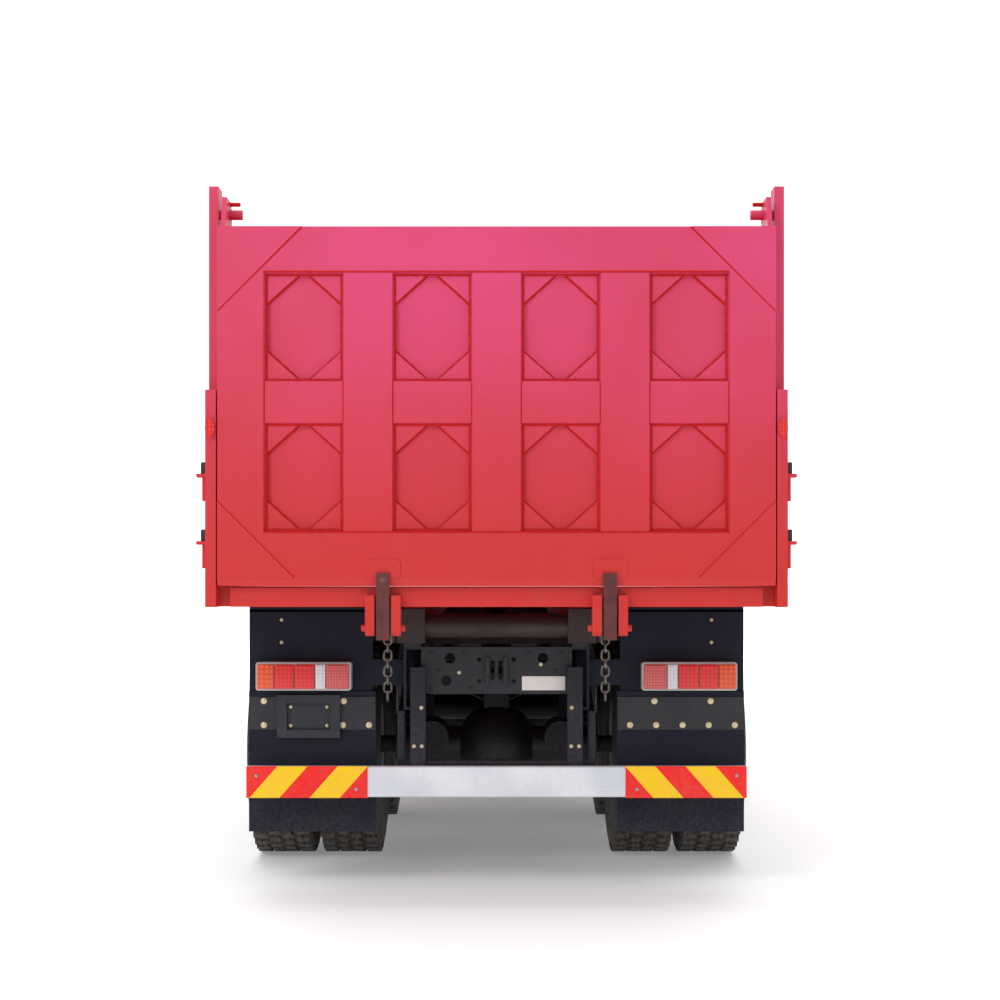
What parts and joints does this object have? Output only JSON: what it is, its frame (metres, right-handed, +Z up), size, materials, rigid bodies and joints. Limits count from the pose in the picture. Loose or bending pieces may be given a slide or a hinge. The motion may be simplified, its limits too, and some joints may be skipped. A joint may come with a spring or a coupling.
{
  "type": "dump truck",
  "caption": "Three-axle cab-over dump truck with a square steel tipping bed, top-hinged ribbed tailgate, underfloor hoist, twin rear wheels and a striped rear underrun rail.",
  "frame": {"origin": "on the ground, at the middle of the overall length and width", "axes": "+Y forward, +X to the lorry's right-hand side, +Z up"},
  "size_m": [2.84, 8.4, 3.146],
  "materials": {
    "tyre_rubber": "worn matte",
    "rim_paint": "satin grey",
    "chassis_black": "satin black",
    "engine_grey": "cast",
    "tank_metal": "brushed",
    "bed_red": "satin red",
    "bare_steel": "rust-browned",
    "rod_chrome": "polished",
    "rail_white": "white with red and yellow boards",
    "lamp_lens": "clear red lens",
    "lamp_clear": "clear lens",
    "flap_rubber": "matte",
    "cab_paint": "gloss red",
    "glass": "tinted",
    "trim_black": "grained"
  },
  "bodies": {
    "chassis": {"cab_back": "cab_paint", "cab_floor": "cab_paint", "cab_front": "cab_paint", "cab_glass": "glass", "cab_interior": "trim_black", "cab_roof": "cab_paint", "cab_sides": "cab_paint", "drive_axles": "chassis_black", "engine_block": "engine_grey", "front_bumper": "trim_black", "front_mudguards": "trim_black", "grille": "trim_black", "headlamps": "lamp_clear", "ladder_frame": "chassis_black", "leaf_springs": "chassis_black", "mirrors": "trim_black", "mudflaps": "flap_rubber", "plate_holder": "chassis_black", "propeller_shafts": "chassis_black", "rear_mudguards": "chassis_black", "steer_axle": "chassis_black", "subframe": "chassis_black", "tail_crossmember": "chassis_black", "tail_lamps": "lamp_lens", "tanks_and_boxes": "tank_metal", "underrun_hangers": "chassis_black", "underrun_rail": "rail_white"},
    "bed": {"bed_floor": "bed_red", "bed_sides": "bed_red", "bed_headboard": "bed_red", "hoist_ears": "bed_red", "tipping_shaft": "bare_steel", "lock_chains": "bare_steel", "side_lamps": "lamp_lens"},
    "gate": {"tailgate": "bed_red", "gate_tongues": "bare_steel"},
    "hoist_cylinder": {"hoist_barrel": "chassis_black"},
    "hoist_ram": {"hoist_rod": "rod_chrome"},
    "knuckle_left_body": {"knuckle_left": "chassis_black"},
    "steer_wheel_left": {"steer_tyre_left": "tyre_rubber", "steer_rim_left": "rim_paint"},
    "door_left_body": {"door_left": "cab_paint", "door_glass_left": "glass"},
    "mid_wheels_left": {"mid_tyres_left": "tyre_rubber", "mid_rims_left": "rim_paint"},
    "tail_wheels_left": {"tail_tyres_left": "tyre_rubber", "tail_rims_left": "rim_paint"},
    "knuckle_right_body": {"knuckle_right": "chassis_black"},
    "steer_wheel_right": {"steer_tyre_right": "tyre_rubber", "steer_rim_right": "rim_paint"},
    "door_right_body": {"door_right": "cab_paint", "door_glass_right": "glass"},
    "mid_wheels_right": {"mid_tyres_right": "tyre_rubber", "mid_rims_right": "rim_paint"},
    "tail_wheels_right": {"tail_tyres_right": "tyre_rubber", "tail_rims_right": "rim_paint"}
  },
  "joints": [
    {"name": "steer_left", "type": "hinge", "parent": "chassis", "child": "knuckle_left_body", "pos_m": [-0.87, 2.7, 0.56], "axis": [0, 0, 1], "range_deg": [-35, 35]},
    {"name": "steer_wheel_left_spin", "type": "hinge", "parent": "knuckle_left_body", "child": "steer_wheel_left", "pos_m": [-1.015, 2.7, 0.56], "axis": [-1, 0, 0], "continuous": true},
    {"name": "door_left_hinge", "type": "hinge", "parent": "chassis", "child": "door_left_body", "pos_m": [-1.237, 3.85, 2], "axis": [0, 0, -1], "range_deg": [0, 75]},
    {"name": "mid_wheels_left_spin", "type": "hinge", "parent": "chassis", "child": "mid_wheels_left", "pos_m": [-0.9155, -1.125, 0.56], "axis": [-1, 0, 0], "continuous": true},
    {"name": "tail_wheels_left_spin", "type": "hinge", "parent": "chassis", "child": "tail_wheels_left", "pos_m": [-0.9155, -2.475, 0.56], "axis": [-1, 0, 0], "continuous": true},
    {"name": "steer_right", "type": "hinge", "parent": "chassis", "child": "knuckle_right_body", "pos_m": [0.87, 2.7, 0.56], "axis": [0, 0, 1], "range_deg": [-35, 35]},
    {"name": "steer_wheel_right_spin", "type": "hinge", "parent": "knuckle_right_body", "child": "steer_wheel_right", "pos_m": [1.015, 2.7, 0.56], "axis": [-1, 0, 0], "continuous": true},
    {"name": "door_right_hinge", "type": "hinge", "parent": "chassis", "child": "door_right_body", "pos_m": [1.237, 3.85, 2], "axis": [0, 0, 1], "range_deg": [0, 75]},
    {"name": "mid_wheels_right_spin", "type": "hinge", "parent": "chassis", "child": "mid_wheels_right", "pos_m": [0.9155, -1.125, 0.56], "axis": [-1, 0, 0], "continuous": true},
    {"name": "tail_wheels_right_spin", "type": "hinge", "parent": "chassis", "child": "tail_wheels_right", "pos_m": [0.9155, -2.475, 0.56], "axis": [-1, 0, 0], "continuous": true},
    {"name": "bed_tip", "type": "hinge", "parent": "chassis", "child": "bed", "pos_m": [0, -3.65, 1.222], "axis": [1, 0, 0], "range_deg": [0, 45]},
    {"name": "gate_swing", "type": "hinge", "parent": "bed", "child": "gate", "pos_m": [0, -4.029, 3.03], "axis": [-1, 0, 0], "range_deg": [0, 75]},
    {"name": "hoist_turn", "type": "hinge", "parent": "chassis", "child": "hoist_cylinder", "pos_m": [0, -2.35, 1.022], "axis": [1, 0, 0], "range_deg": [0, 66.3]},
    {"name": "hoist_slide", "type": "slide", "parent": "hoist_cylinder", "child": "hoist_ram", "axis": [0, 0.9866, 0.1632], "range_m": [0, 0.802]}
  ],
  "couplings": [
    {"joint": "steer_right", "follows": "steer_left", "ratio": 1},
    {"joint": "hoist_turn", "follows": "bed_tip", "ratio": 1.4512},
    {"joint": "hoist_slide", "follows": "bed_tip", "m_per_rad": 1.009}
  ]
}
